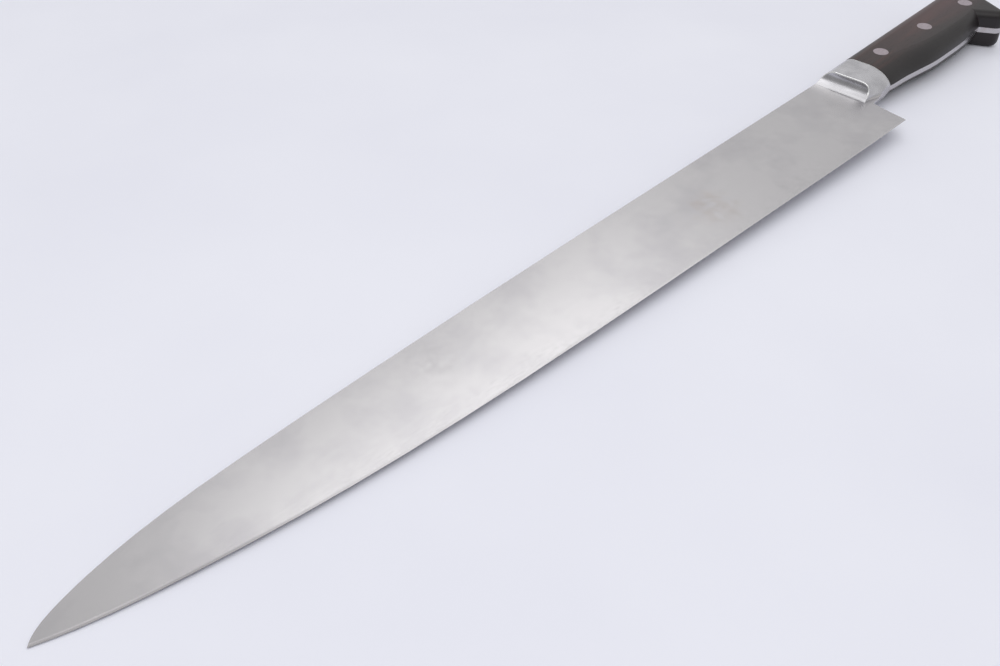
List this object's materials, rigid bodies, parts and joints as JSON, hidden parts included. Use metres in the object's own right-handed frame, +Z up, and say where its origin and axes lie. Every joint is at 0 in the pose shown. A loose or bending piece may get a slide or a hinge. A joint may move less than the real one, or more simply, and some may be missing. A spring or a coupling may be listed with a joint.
{
  "type": "carving knife",
  "caption": "Long straight carving knife with a pointed blade, scooped bolster and riveted full tang wooden handle ending in a hook.",
  "frame": {"origin": "centre of the bottom of the bounding box, on the surface that the knife lies on", "axes": "+X from the tip to the butt, +Y from the cutting edge to the spine, +Z up out of the blade's left side. The knife lies on its right side, on the flat of the right scale and on the tip."},
  "size_m": [0.48, 0.0427, 0.0173],
  "materials": {
    "blade_steel": "satin, brushed along the blade",
    "bolster_steel": "fine satin polish",
    "scale_wood": "dark stained hardwood, satin",
    "rivet_metal": "ground flush, satin"
  },
  "bodies": {
    "root": {"blade": "blade_steel", "bolster_left": "bolster_steel", "bolster_right": "bolster_steel", "scale_left": "scale_wood", "scale_right": "scale_wood", "rivet_front_pin": "rivet_metal", "rivet_front_tube": "rivet_metal", "rivet_middle_pin": "rivet_metal", "rivet_middle_tube": "rivet_metal", "rivet_rear_pin": "rivet_metal", "rivet_rear_tube": "rivet_metal"}
  },
  "joints": []
}
